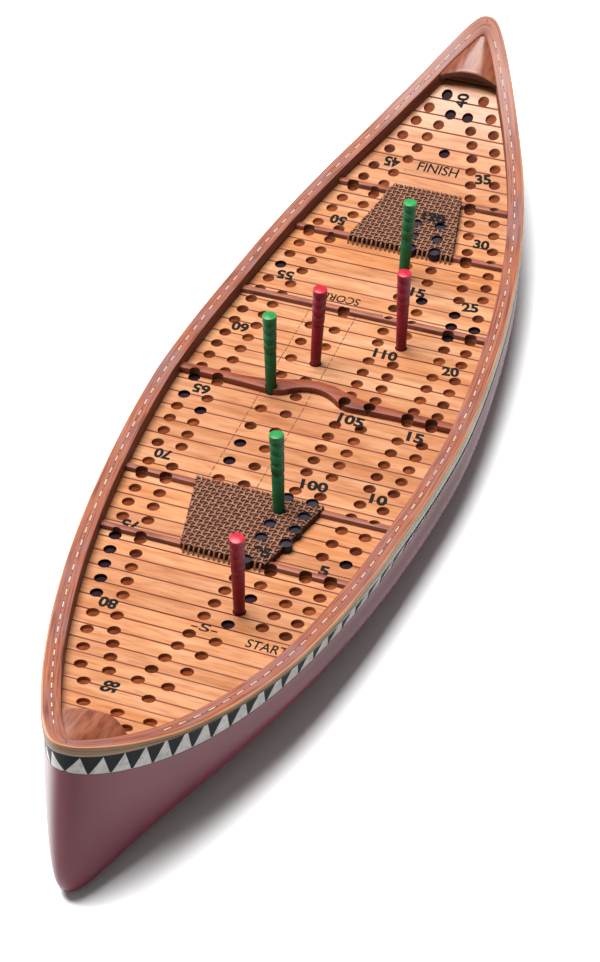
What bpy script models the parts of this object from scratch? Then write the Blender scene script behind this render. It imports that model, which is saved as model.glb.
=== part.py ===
"""Canoe-shaped cribbage board.

A solid canoe hull with a pocketed top, a drilled board lying in the pocket,
two gunwale rails that cap the rim, an outwale and a decorated band strip on
each side, an arched deck plate at each end, two caned seats on cross rails,
a thwart, a carved yoke and six lift-out pegs.

+X runs toward the bow, +Y to port, +Z up.  The hull rests on z = 0.
Dimensions are in millimetres and scaled to metres when a mesh is made.
"""
import math

import bmesh
import bpy
import numpy as np

MM = 0.001

# rim outline
HALF_LENGTH = 175.0
HALF_BEAM = 48.8
OUTLINE_FULLNESS = 1.58
OUTLINE_TIP = 0.397
OUTLINE_TAPER_2 = 0.193
OUTLINE_TAPER_5 = 0.375

# sheer line, measured at the top of the rim
RIM_HEIGHT = 25.3
SHEER_BOW = 24.4
SHEER_STERN = 18.0
SHEER_EVEN = 7.8

# hull
KEEL_DEPTH = 26.0
STEM_RADIUS = 27.0
STEM_SQUARENESS = 7.6
STEM_BULGE = 0.048
BULGE_HEIGHT = 36.0

# rim build-up, insets measured inward from the outline
RAIL_THICKNESS = 1.2
RAIL_INSET = 5.1
LIP_THICKNESS = 1.5
LIP_DEPTH = 4.2
GAP = 0.3
STRIP_THICKNESS = 0.9
OUTWALE_TOP = 1.5
OUTWALE_BOTTOM = 3.4
BAND_TOP = 3.7
BAND_BOTTOM = 9.2
CENTRE_GAP = 0.15
RIM_END = 174.9
RIM_STATIONS = 55

# playing board
DECK_DROP = 4.5
DECK_THICKNESS = 7.0
DECK_INSET = RAIL_INSET - LIP_THICKNESS
DECK_BOW_END = 168.6
DECK_STERN_END = -168.6
HOLE_RADIUS = 1.85
CANE_HOLE_RADIUS = 2.15
HOLE_DEPTH = 6.0
HOLE_SIDES = 8

# drilled tracks: the line each one follows, then the middle and pitch of every group of five holes
STARBOARD_OUTER = (
    ((-96, -27.4), (-82, -30.0), (-69, -31.8), (-54, -33.5), (-35, -34.9), (-15, -36.1), (10, -36.4),
     (30, -36.1), (48, -34.9), (60, -33.7), (75, -31.6), (92, -28.4), (105, -24.9), (123, -19.4)),
    ((-82.5, 6.1), (-47.8, 6.4), (-15.2, 5.8), (16.7, 5.9), (48.0, 5.8), (80.7, 5.95), (111.5, 5.7)),
)
STARBOARD_INNER = (
    ((-94, -20.5), (-82, -22.9), (-69, -24.5), (-54, -26.1), (-35, -27.8), (-15, -28.6), (10, -29.0),
     (28, -29.2), (42, -28.4), (59, -26.3), (73, -24.5), (91, -20.4), (103, -17.2), (121, -11.8)),
    ((-82.0, 5.85), (-47.2, 6.3), (-15.5, 5.8), (16.4, 5.75), (47.5, 5.75), (78.2, 5.9), (109.3, 5.85)),
)
PORT_OUTER = (
    ((-97, 26.7), (-84, 29.9), (-72, 32.0), (-56, 34.6), (-37, 36.3), (-17, 38.1), (5, 38.6),
     (22, 38.3), (40, 37.0), (58, 34.9), (77, 32.1), (91, 29.7), (104, 26.4), (121, 21.7)),
    ((-84.1, 6.2), (-50.3, 6.4), (-16.8, 5.95), (15.6, 5.95), (45.9, 5.8), (77.6, 6.1), (109.5, 5.9)),
)
PORT_INNER = (
    ((-95, 19.7), (-83, 22.3), (-71, 24.7), (-56, 27.0), (-37, 28.9), (-16, 30.8), (5, 31.1),
     (22, 30.4), (40, 29.8), (57, 27.3), (76, 24.3), (89, 22.2), (102, 18.9), (119, 14.3)),
    ((-82.9, 5.95), (-50.0, 6.2), (-16.4, 5.9), (15.5, 5.9), (45.4, 5.8), (76.4, 6.0), (108.1, 5.8)),
)
HOME_STARBOARD = (
    ((-96, -11.4), (-84, -13.1), (-70, -14.4), (-48, -15.7), (-26, -16.3), (-3, -16.9), (18, -16.5),
     (38, -15.7), (62, -14.5), (77, -12.6), (84, -11.5), (97, -9.2)),
    ((-83.4, 6.2), (-47.9, 6.3), (-14.3, 5.9), (17.6, 5.95), (50.3, 6.0), (83.9, 6.2)),
)
HOME_PORT = (
    ((-95, -4.1), (-83, -5.4), (-70, -7.0), (-48, -8.2), (-26, -8.6), (-3, -9.0), (18, -8.7),
     (38, -8.2), (61, -7.2), (71, -5.4), (78, -4.4), (96, -1.6)),
    ((-82.8, 6.0), (-47.9, 6.3), (-14.7, 5.85), (17.4, 5.8), (50.1, 5.9), (83.5, 6.1)),
)
TRACKS = (STARBOARD_OUTER, STARBOARD_INNER, PORT_OUTER, PORT_INNER, HOME_STARBOARD, HOME_PORT)
TURN_SHIFT = 0.8
BOW_TURN_INNER = ((147.4, 3.0), (142.8, 5.6), (137.5, 7.8), (132.2, 9.5), (126.8, 10.9))
BOW_TURN_OUTER = ((154.0, 6.4), (148.5, 10.8), (142.9, 13.5), (136.3, 16.0), (129.7, 18.3))
STERN_OUT_INNER = ((-103.5, 17.7), (-109.7, 15.9), (-115.1, 13.9), (-120.7, 12.1), (-126.4, 10.0))
STERN_OUT_OUTER = ((-104.7, 24.3), (-111.9, 22.8), (-119.3, 20.6), (-126.6, 18.0), (-133.3, 14.1))
STERN_BACK_INNER = ((-127.0, 1.5), (-121.2, 0.1), (-115.3, -1.2), (-109.2, -2.3), (-103.2, -3.2))
STERN_BACK_OUTER = ((-133.7, -4.4), (-126.7, -6.9), (-118.6, -8.9), (-110.7, -9.8), (-103.9, -11.1))
FINISH_HOLE = (132.0, 0.8)
PARKING_HOLES = ((-142.5, 10.0), (-143.1, 0.2), (-143.6, -9.1), (-149.2, 5.0), (-149.2, -4.8))
GAMES_START = 48.2
GAMES_PITCH = 8.6
GAMES_ROWS = 11
GAMES_COLUMNS = (14.3, 6.4)

# cross members
MEMBER_WIDTH = 2.4
MEMBER_HEIGHT = 1.5
BOW_SEAT_RAILS = (110.5, 85.0)
STERN_SEAT_RAILS = (-42.9, -69.3)
THWART_X = 49.0
THWART_WIDTH = 2.6
YOKE_HEIGHT = 1.9
YOKE_SHIFT = 1.5
YOKE_BOW_EDGE = ((0.0, 12.4), (5.0, 11.7), (10.0, 9.9), (15.0, 8.4), (22.0, 7.5), (50.0, 7.1))
YOKE_STERN_EDGE = (
    (0.0, 8.6), (3.0, 8.2), (6.0, 6.8), (8.5, 4.7), (10.5, 3.8), (13.0, 3.6), (18.0, 3.9), (26.0, 4.3), (50.0, 4.4),
)
CANE_THICKNESS = 1.0
BOW_CANE_ENDS = (111.8, 83.7)
STERN_CANE_ENDS = (-42.1, -70.6)
BOW_CANE_HALF_WIDTHS = (11.7, 17.5)
STERN_CANE_HALF_WIDTHS = (19.4, 12.7)

# end deck plates
BOW_PLATE_EDGE = 156.2
STERN_PLATE_EDGE = -153.4
PLATE_CROWN = 3.0
PLATE_EDGE_DROP = 0.5

# pegs
PEG_IN_HOLE = 5.4
PEG_SIDES = 10
PEG_PROFILE = (
    (0.0, 0.85), (1.2, 1.05), (5.4, 1.6), (20.3, 1.82), (20.6, 1.68), (21.2, 1.68), (21.5, 1.92), (23.9, 1.95),
    (24.2, 1.74), (24.8, 1.74), (25.1, 1.99), (27.5, 2.02), (27.8, 1.8), (28.4, 1.8), (28.7, 2.06), (30.7, 2.08),
    (31.0, 1.86), (31.5, 1.86), (31.8, 2.12), (33.6, 2.16), (34.0, 1.98),
)
RED_PEGS = ((37.5, -16.2, 0.0, -0.8), (22.25, 6.2, 0.0, -2.9), (-89.2, -13.0, -3.5, -1.0))
GREEN_PEGS = ((71.3, -5.4, 0.0, -2.3), (4.95, 14.3, 0.0, 0.6), (-47.9, -8.1, 3.0, 2.6))

MATERIALS = {
    "maroon_paint": ((0.155, 0.050, 0.068), 0.22, 0.0),
    "cedar": ((0.86, 0.47, 0.20), 0.45, 0.0),
    "rail_wood": ((0.42, 0.15, 0.095), 0.42, 0.0),
    "outwale_wood": ((0.42, 0.24, 0.11), 0.45, 0.0),
    "band_slate": ((0.035, 0.06, 0.075), 0.35, 0.0),
    "plate_wood": ((0.36, 0.105, 0.045), 0.16, 0.0),
    "member_wood": ((0.40, 0.14, 0.075), 0.42, 0.0),
    "cane": ((0.24, 0.12, 0.06), 0.6, 0.0),
    "red_peg": ((0.42, 0.012, 0.03), 0.35, 0.0),
    "green_peg": ((0.012, 0.20, 0.06), 0.35, 0.0),
}


def outline(x):
    """Half-width of the rim outline at station x."""
    u = np.clip(np.abs(x) / HALF_LENGTH, 0.0, 1.0)
    body = (1.0 - u ** OUTLINE_FULLNESS) ** OUTLINE_TIP
    return HALF_BEAM * body * (1.0 - OUTLINE_TAPER_2 * u ** 2 - OUTLINE_TAPER_5 * u ** 5)


def rim_top(x):
    """Height of the top of the rim at station x."""
    u = np.abs(x) / HALF_LENGTH
    end_rise = np.where(np.asarray(x) > 0.0, SHEER_BOW, SHEER_STERN)
    return RIM_HEIGHT + end_rise * u ** 6 + SHEER_EVEN * u ** 2


def inset_curve(distance):
    """Outline moved inward by a distance, as rising x and matching y arrays."""
    angle = np.linspace(-math.pi / 2, math.pi / 2, 1601)
    x = HALF_LENGTH * np.sin(angle)
    y = outline(x)
    dx = np.gradient(x)
    dy = np.gradient(y)
    length = np.hypot(dx, dy)
    shifted_x = x + distance * dy / length
    shifted_y = y - distance * dx / length
    keep = (shifted_y > 0.0) & (np.abs(shifted_x) < HALF_LENGTH)
    order = np.argsort(shifted_x[keep])
    return shifted_x[keep][order], shifted_y[keep][order]


INSET_CACHE = {}


def half_width(x, distance):
    """Half-width at station x of the outline inset by a distance, zero past its tip."""
    if distance <= 0.0:
        return outline(x)
    if distance not in INSET_CACHE:
        INSET_CACHE[distance] = inset_curve(distance)
    curve_x, curve_y = INSET_CACHE[distance]
    return np.interp(x, curve_x, curve_y, left=0.0, right=0.0)


def stations(start, end, count):
    """Stations from start to end, packed toward the ends of the canoe."""
    low = math.asin(start / HALF_LENGTH)
    high = math.asin(end / HALF_LENGTH)
    return HALF_LENGTH * np.sin(np.linspace(low, high, count))


def make_material(name):
    colour, roughness, metallic = MATERIALS[name]
    material = bpy.data.materials.new(name)
    material.use_nodes = True
    shader = material.node_tree.nodes["Principled BSDF"]
    shader.inputs["Base Color"].default_value = (*colour, 1.0)
    shader.inputs["Roughness"].default_value = roughness
    shader.inputs["Metallic"].default_value = metallic
    material.diffuse_color = (*colour, 1.0)
    return material


def make_object(name, vertices, faces, material, smooth_angle=None):
    """Mesh object from millimetre vertices, with its faces turned outward."""
    mesh = bpy.data.meshes.new(name)
    scaled = [(x * MM, y * MM, z * MM) for x, y, z in vertices]
    mesh.from_pydata(scaled, [], faces)
    solid = bmesh.new()
    solid.from_mesh(mesh)
    bmesh.ops.remove_doubles(solid, verts=solid.verts, dist=1e-7)
    bmesh.ops.recalc_face_normals(solid, faces=solid.faces)
    solid.to_mesh(mesh)
    solid.free()
    mesh.materials.append(material)
    part = bpy.data.objects.new(name, mesh)
    bpy.context.collection.objects.link(part)
    if smooth_angle is not None:
        mesh.shade_smooth()
        mesh.set_sharp_from_angle(angle=math.radians(smooth_angle))
    return part


def loft(name, loops, material, smooth_angle=None):
    """Closed body through equal loops of points, capped at both ends."""
    count = len(loops[0])
    vertices = [point for loop in loops for point in loop]
    faces = []
    for index in range(len(loops) - 1):
        here = index * count
        there = here + count
        for side in range(count):
            after = (side + 1) % count
            faces.append((here + side, here + after, there + after, there + side))
    faces.append(tuple(range(count)))
    last = (len(loops) - 1) * count
    faces.append(tuple(range(last, last + count)))
    return make_object(name, vertices, faces, material, smooth_angle)


def combine(target, tool, operation):
    """Boolean the tool into the target and drop the tool."""
    modifier = target.modifiers.new("cut", "BOOLEAN")
    modifier.operation = operation
    modifier.solver = "EXACT"
    modifier.object = tool
    graph = bpy.context.evaluated_depsgraph_get()
    result = bpy.data.meshes.new_from_object(target.evaluated_get(graph))
    target.modifiers.clear()
    target.data = result
    bpy.data.objects.remove(tool, do_unlink=True)


def lower_hull_loop(x):
    """Section of the hull below the band: an arched bottom with near-upright sides."""
    u = abs(x) / HALF_LENGTH
    beam = float(outline(x))
    top = float(rim_top(x))
    seam = top - BAND_BOTTOM - GAP
    keel = RIM_HEIGHT - KEEL_DEPTH
    run = max(0.0, (abs(x) - (HALF_LENGTH - STEM_RADIUS)) / STEM_RADIUS)
    stem = 1.0 - max(0.0, 1.0 - run ** STEM_SQUARENESS) ** (1.0 / STEM_SQUARENESS)
    bottom = keel + (top - keel) * stem
    width_power = 1.2 + 1.5 * u ** 4
    depth_power = 8.0 - 3.8 * u ** 1.5
    seam_depth = (top - seam) / (top - bottom)
    if seam_depth > 0.985:
        seam_depth = 0.985
    side = []
    for step in range(11):
        depth = seam_depth + (1.0 - seam_depth) * math.sin(step / 10.0 * math.pi / 2)
        y = beam * max(0.0, 1.0 - depth ** depth_power) ** (1.0 / width_power)
        z = max(0.0, top - (top - bottom) * depth)
        lean = 1.0 + STEM_BULGE * u ** 3 * (seam - z) / BULGE_HEIGHT
        side.append((x * lean, max(y, 0.02), z))
    return side + [(px, -py, pz) for px, py, pz in reversed(side)]


def ring_strip_loops(inner, outer, top_drop, bottom_drop):
    """Sections of a port strip between two insets and two depths below the rim top."""
    loops = []
    for x in stations(-RIM_END, RIM_END, RIM_STATIONS):
        y_out = max(float(half_width(x, outer)), CENTRE_GAP + 0.3)
        y_in = max(float(half_width(x, inner)), CENTRE_GAP)
        y_in = min(y_in, y_out - 0.25)
        top = float(rim_top(x)) - top_drop
        bottom = float(rim_top(x)) - bottom_drop
        loops.append([(x, y_in, top), (x, y_out, top), (x, y_out, bottom), (x, y_in, bottom)])
    return loops


def mirrored(loops):
    return [[(x, -y, z) for x, y, z in loop] for loop in loops]


def board_loops(inset, top_drop, thickness, start, end, count):
    """Sections of a full-width board that follows the sheer."""
    loops = []
    for x in stations(start, end, count):
        y = float(half_width(x, inset))
        top = float(rim_top(x)) - top_drop
        loops.append([(x, y, top), (x, -y, top), (x, -y, top - thickness), (x, y, top - thickness)])
    return loops


def build_hull(material):
    loops = [lower_hull_loop(x) for x in stations(-RIM_END, RIM_END, RIM_STATIONS)]
    hull = loft("hull", loops, material)
    wall_inset = STRIP_THICKNESS + GAP
    wall_loops = []
    for x in stations(-RIM_END, RIM_END, RIM_STATIONS)[1:-1]:
        y = float(half_width(x, wall_inset))
        if y < 0.5:
            continue
        top = float(rim_top(x))
        low = top - BAND_BOTTOM - 3.0
        high = top - RAIL_THICKNESS - GAP
        wall_loops.append([(x, y, high), (x, -y, high), (x, -y, low), (x, y, low)])
    wall = loft("hull_wall", wall_loops, material)
    combine(hull, wall, "UNION")
    pocket_loops = board_loops(
        DECK_INSET - GAP, -6.0, DECK_DROP + DECK_THICKNESS + GAP + 6.0, DECK_STERN_END - 0.4, DECK_BOW_END + 0.4, 33
    )
    pocket = loft("pocket", pocket_loops, material)
    combine(hull, pocket, "DIFFERENCE")
    hull.data.shade_smooth()
    hull.data.set_sharp_from_angle(angle=math.radians(32))


def rail_loops():
    """Sections of the port gunwale rail: a flat cap with a lip turned down inside."""
    loops = []
    for x in stations(-RIM_END, RIM_END, RIM_STATIONS):
        y_out = max(float(half_width(x, 0.0)), CENTRE_GAP + 0.5)
        y_in = max(float(half_width(x, RAIL_INSET)), CENTRE_GAP)
        y_in = min(y_in, y_out - 0.4)
        y_lip = min(y_in + LIP_THICKNESS, y_out - 0.2)
        if float(half_width(x, DECK_INSET)) < y_in:
            y_lip = y_in + 0.2
        top = float(rim_top(x))
        under = top - RAIL_THICKNESS
        open_stretch = DECK_STERN_END < x < DECK_BOW_END
        foot = top - (LIP_DEPTH if open_stretch else RAIL_THICKNESS + 0.1)
        soft = 0.25
        loops.append([
            (x, y_in, top - soft), (x, y_in + 0.1, top), (x, y_out - 0.1, top), (x, y_out, top - soft),
            (x, y_out, under), (x, y_lip, under), (x, y_lip, foot), (x, y_in, foot),
        ])
    return loops


def drill_points():
    """Centres of every drilled hole, as (x, y) pairs."""
    points = []
    for line, groups in TRACKS:
        line_x = [point[0] for point in line]
        line_y = [point[1] for point in line]
        for centre, pitch in groups:
            for offset in (-2, -1, 0, 1, 2):
                x = centre + pitch * offset
                points.append((x, float(np.interp(x, line_x, line_y))))
    for turn in (BOW_TURN_INNER, BOW_TURN_OUTER):
        for x, y in turn:
            points.append((x, y + TURN_SHIFT))
            points.append((x, -y + TURN_SHIFT))
    for turn in (STERN_OUT_INNER, STERN_OUT_OUTER, STERN_BACK_INNER, STERN_BACK_OUTER):
        points.extend(turn)
    points.append(FINISH_HOLE)
    points.extend(PARKING_HOLES)
    for row in range(GAMES_ROWS):
        for y in GAMES_COLUMNS:
            points.append((GAMES_START - GAMES_PITCH * row, y))
    return points


def drill(part, points, material, inside=None, radius=HOLE_RADIUS):
    """Cut the holes out of a part, keeping only those the test function accepts."""
    vertices = []
    faces = []
    for x, y in points:
        if inside is not None and not inside(x, y):
            continue
        surface = float(rim_top(x)) - DECK_DROP
        base = len(vertices)
        for level in (surface - HOLE_DEPTH, surface + 12.0):
            for corner in range(HOLE_SIDES):
                turn = 2.0 * math.pi * (corner + 0.5) / HOLE_SIDES
                vertices.append((x + radius * math.cos(turn), y + radius * math.sin(turn), level))
        for corner in range(HOLE_SIDES):
            after = (corner + 1) % HOLE_SIDES
            faces.append((base + corner, base + after, base + HOLE_SIDES + after, base + HOLE_SIDES + corner))
        faces.append(tuple(base + corner for corner in range(HOLE_SIDES)))
        faces.append(tuple(base + HOLE_SIDES + corner for corner in range(HOLE_SIDES)))
    if vertices:
        tool = make_object("drill", vertices, faces, material)
        combine(part, tool, "DIFFERENCE")


def build_deck(material, points):
    loops = board_loops(DECK_INSET, DECK_DROP, DECK_THICKNESS, DECK_STERN_END, DECK_BOW_END, 27)
    deck = loft("playing_deck", loops, material)
    drill(deck, points, material)


def member_bottom(x):
    return float(rim_top(x)) - DECK_DROP + GAP


def build_bar(name, x, width, height, material, points):
    """Straight cross member lying just above the board, between the rail lips."""
    loops = []
    for y_side in (-1.0, 1.0):
        y = y_side * (float(half_width(x, RAIL_INSET)) - GAP - 0.4)
        loop = []
        for x_side, lift in ((-1, 0.0), (-1, height - 0.3), (-0.75, height), (0.75, height), (1, height - 0.3), (1, 0.0)):
            px = x + 0.5 * width * x_side
            loop.append((px, y, member_bottom(x) + 0.5 * width * abs(slope(x)) + lift))
        loops.append(loop)
    bar = loft(name, loops, material)
    reach = 0.5 * width + HOLE_RADIUS
    drill(bar, points, material, lambda px, py: abs(px - x) < reach)


def slope(x):
    """Fore-and-aft slope of the sheer at station x."""
    return (float(rim_top(x + 0.5)) - float(rim_top(x - 0.5)))


def build_yoke(material, points):
    limit = float(half_width(7.0, RAIL_INSET)) - GAP - 0.4
    bow_y = [point[0] for point in YOKE_BOW_EDGE]
    bow_x = [point[1] for point in YOKE_BOW_EDGE]
    stern_y = [point[0] for point in YOKE_STERN_EDGE]
    stern_x = [point[1] for point in YOKE_STERN_EDGE]
    spread = [-1.0, -0.62, -0.45, -0.37, -0.31, -0.27, -0.235, -0.2, -0.16, -0.11, -0.05]
    spread = spread + [-value for value in reversed(spread)]
    loops = []
    for value in spread:
        y = value * limit
        reach = abs(y - YOKE_SHIFT)
        fore = float(np.interp(reach, bow_y, bow_x))
        aft = float(np.interp(reach, stern_y, stern_x))
        low = float(rim_top(10.0)) - DECK_DROP + GAP
        high = low + YOKE_HEIGHT
        loops.append([
            (aft, y, low), (aft, y, high - 0.3), (aft + 0.3, y, high),
            (fore - 0.3, y, high), (fore, y, high - 0.3), (fore, y, low),
        ])
    yoke = loft("yoke", loops, material)
    drill(yoke, points, material, lambda px, py: 0.0 < px < 16.0)


def build_cane(name, ends, half_widths, material, points):
    """Woven seat panel laid over both of its rails, wider toward the middle of the canoe."""
    x_bow, x_stern = ends
    lift = MEMBER_HEIGHT + 2 * GAP + 0.5 * MEMBER_WIDTH * abs(slope(max(ends, key=abs)))
    loops = []
    for share in (0.0, 0.25, 0.5, 0.75, 1.0):
        x = x_bow + (x_stern - x_bow) * share
        y = half_widths[0] + (half_widths[1] - half_widths[0]) * share
        low = float(rim_top(x)) - DECK_DROP + lift
        high = low + CANE_THICKNESS
        loops.append([(x, -y, low), (x, -y, high), (x, y, high), (x, y, low)])
    panel = loft(name, loops, material)

    def near_panel(px, py):
        return x_stern - 2.0 < px < x_bow + 2.0 and abs(py) < max(half_widths) + 2.0

    drill(panel, points, material, near_panel, CANE_HOLE_RADIUS)


def build_plate(name, edge, tip, material):
    """Arched end plate filling the space between the rails out to the stem."""
    loops = []
    for share in (0.0, 0.12, 0.3, 0.5, 0.7, 0.86, 1.0):
        x = edge + (tip - edge) * share
        width = max(float(half_width(x, RAIL_INSET)) - GAP, 0.25)
        crown = PLATE_CROWN * (1.0 - share) ** 0.8 + 0.1
        top = float(rim_top(x)) - PLATE_EDGE_DROP
        low = top - 3.4
        upper = []
        for step in range(9):
            y = width * (1.0 - step / 4.0)
            upper.append((x, y, top + crown * (1.0 - (y / width) ** 2)))
        loops.append(upper + [(x, -width, low), (x, width, low)])
    plate = loft(name, loops, material)
    plate.data.shade_smooth()
    plate.data.set_sharp_from_angle(angle=math.radians(35))


def build_peg(name, spot, material, points):
    """Turned peg in the hole nearest its spot, with its origin at the mouth of the hole."""
    near_x, near_y, lean_x, lean_y = spot
    x, y = min(points, key=lambda point: math.hypot(point[0] - near_x, point[1] - near_y))
    mouth = float(rim_top(x)) - DECK_DROP
    loops = []
    for height, radius in PEG_PROFILE:
        loop = []
        for corner in range(PEG_SIDES):
            turn = 2.0 * math.pi * corner / PEG_SIDES
            loop.append((radius * math.cos(turn), radius * math.sin(turn), height - PEG_IN_HOLE))
        loops.append(loop)
    peg = loft(name, loops, material, 40)
    peg.location = (x * MM, y * MM, mouth * MM)
    peg.rotation_euler = (math.radians(-lean_y), math.radians(lean_x), 0.0)


def main():
    for item in list(bpy.data.objects):
        bpy.data.objects.remove(item, do_unlink=True)
    paint = {name: make_material(name) for name in MATERIALS}
    points = drill_points()

    build_hull(paint["maroon_paint"])
    build_deck(paint["cedar"], points)

    rail = rail_loops()
    loft("gunwale_rail_port", rail, paint["rail_wood"], 35)
    loft("gunwale_rail_starboard", mirrored(rail), paint["rail_wood"], 35)
    outwale = ring_strip_loops(STRIP_THICKNESS, 0.0, OUTWALE_TOP, OUTWALE_BOTTOM)
    loft("outwale_port", outwale, paint["outwale_wood"], 35)
    loft("outwale_starboard", mirrored(outwale), paint["outwale_wood"], 35)
    band = ring_strip_loops(STRIP_THICKNESS, 0.0, BAND_TOP, BAND_BOTTOM)
    loft("band_port", band, paint["band_slate"], 35)
    loft("band_starboard", mirrored(band), paint["band_slate"], 35)

    build_plate("bow_deck_plate", BOW_PLATE_EDGE, 168.2, paint["plate_wood"])
    build_plate("stern_deck_plate", STERN_PLATE_EDGE, -168.2, paint["plate_wood"])

    build_bar("bow_seat_fore_rail", BOW_SEAT_RAILS[0], MEMBER_WIDTH, MEMBER_HEIGHT, paint["member_wood"], points)
    build_bar("bow_seat_aft_rail", BOW_SEAT_RAILS[1], MEMBER_WIDTH, MEMBER_HEIGHT, paint["member_wood"], points)
    build_bar("stern_seat_fore_rail", STERN_SEAT_RAILS[0], MEMBER_WIDTH, MEMBER_HEIGHT, paint["member_wood"], points)
    build_bar("stern_seat_aft_rail", STERN_SEAT_RAILS[1], MEMBER_WIDTH, MEMBER_HEIGHT, paint["member_wood"], points)
    build_bar("thwart", THWART_X, THWART_WIDTH, MEMBER_HEIGHT, paint["member_wood"], points)
    build_yoke(paint["member_wood"], points)
    build_cane("bow_seat_cane", BOW_CANE_ENDS, BOW_CANE_HALF_WIDTHS, paint["cane"], points)
    build_cane("stern_seat_cane", STERN_CANE_ENDS, STERN_CANE_HALF_WIDTHS, paint["cane"], points)

    for number, spot in enumerate(RED_PEGS, 1):
        build_peg("red_peg_%d" % number, spot, paint["red_peg"], points)
    for number, spot in enumerate(GREEN_PEGS, 1):
        build_peg("green_peg_%d" % number, spot, paint["green_peg"], points)


main()
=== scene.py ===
"""Looks of the canoe-shaped cribbage board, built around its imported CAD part.

Every visible piece is made again here in finer detail, in the same frame:
+X toward the bow, +Y to port, +Z up, resting on z = 0.
Lengths are in millimetres until a mesh is made.
"""
import math
import random

import bmesh
import bpy
import numpy as np
from mathutils import Euler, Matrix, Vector
from mathutils.geometry import delaunay_2d_cdt


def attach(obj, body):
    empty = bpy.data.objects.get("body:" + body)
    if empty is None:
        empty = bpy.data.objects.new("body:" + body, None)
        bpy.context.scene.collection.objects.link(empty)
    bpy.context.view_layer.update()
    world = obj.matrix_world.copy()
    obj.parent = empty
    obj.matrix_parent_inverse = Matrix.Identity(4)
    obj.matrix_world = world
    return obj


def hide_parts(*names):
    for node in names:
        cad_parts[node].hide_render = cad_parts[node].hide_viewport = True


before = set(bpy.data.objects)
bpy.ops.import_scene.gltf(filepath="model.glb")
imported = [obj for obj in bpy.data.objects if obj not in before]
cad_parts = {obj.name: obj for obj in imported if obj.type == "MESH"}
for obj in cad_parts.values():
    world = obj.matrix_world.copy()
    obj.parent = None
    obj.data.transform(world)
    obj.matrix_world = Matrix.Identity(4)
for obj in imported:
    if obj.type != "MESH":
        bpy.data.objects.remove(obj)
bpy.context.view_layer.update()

MM = 0.001
chance = random.Random(11)

# rim outline and sheer
HALF_LENGTH = 175.0
HALF_BEAM = 48.8
RIM_HEIGHT = 25.3
SHEER_BOW = 24.4
SHEER_STERN = 18.0
SHEER_EVEN = 7.8

# hull below the band
KEEL_DEPTH = 26.0
STEM_RADIUS = 27.0
STEM_SQUARENESS = 7.6
STEM_BULGE = 0.048
BULGE_HEIGHT = 36.0

# rim build-up
RAIL_INSET = 5.15
STITCH_INSET = 2.8
STITCH_INSET_BOW = 3.1
STITCH_PITCH = 5.5
STITCH_LENGTH = 3.0
STITCH_GIRTH = (0.19, 0.14)
STITCH_HOLE_SIZE = (0.24, 0.22, 0.04)
STITCH_CLOSENESS = ((-170.0, 0.94), (-120.0, 1.0), (110.0, 1.0), (170.0, 0.84))
STITCH_REACH = {1.0: (-162.0, 169.0), -1.0: (-150.0, 169.0)}
BAND_TOP = 3.5
BAND_BOTTOM = 9.6
BAND_RECESS = 2.1
HULL_FULL_DEPTH = 15.5
TRIANGLE_PITCH = (6.2, 7.4)
TRIANGLE_RUN_IN = 60.0
TRIANGLE_SHARE = 0.9
TRIANGLE_LEAN = 0.66

# how far each side of the rim stands outside the even outline, and how far the bow stands above the even sheer
STARBOARD_SWELL = (
    (-175.0, 0.0), (-170.0, 0.0), (-155.0, 1.2), (-150.0, 1.65), (-108.0, 1.65), (-64.0, 0.3), (-45.0, -0.2),
    (0.0, -0.35), (150.0, -0.2), (175.0, 0.0),
)
PORT_SWELL = ((-175.0, 0.0), (50.0, 0.0), (90.0, 1.3), (115.0, 2.0), (145.0, 2.0), (162.0, 1.2), (175.0, 0.0))
SWELL_FADE = 6.0
SWELL_SQUEEZE = 1.15
BOW_LIFT = 1.3
BOW_LIFT_START = 115.0

# playing deck
DECK_DROP = 4.5
DECK_INSET = 4.4
DECK_END = 168.5
HOLE_RADIUS = 1.88
# open holes are drawn this shallow, with a painted-shade floor
HOLE_DEPTH = 1.1
PEG_HOLE_DEPTH = 5.8
HOLE_SIDES = 28
SEAM_HALF_WIDTH = 0.3
SEAM_DEPTH = 0.2
PLANK_SEAMS = (
    159.0, 152.3, 146.4, 140.4, 134.0, 127.2, 120.2, 112.7, 106.3, 99.7, 93.2, 86.4, 79.6, 72.9, 66.1, 59.4, 52.9,
    46.6, 40.3, 34.1, 27.8, 21.6, 15.4, 8.8, 2.3, -4.2, -10.8, -17.7, -24.5, -31.6, -38.1, -46.9, -53.6, -60.4,
    -65.9, -72.9, -79.1, -85.2, -91.6, -97.8, -103.7, -109.8, -116.0, -121.9, -127.8, -133.5, -139.2, -145.1, -152.0,
)
DARK_HOLES = (
    (-78, 31), (-72, 32), (-11, 31), (-90, 28), (-84, 30), (154, 7), (-21, 14), (-30, 14), (147, 4), (147, -2),
    (60, -25), (5, 39), (-5, 38), (-60, -32), (-96, -12), (62, -14), (54, -26), (54, -34), (132, 1), (66, 34),
    (-84, -13), (-90, -12), (48, 14), (-96, 27), (48, -27),
)

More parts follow.
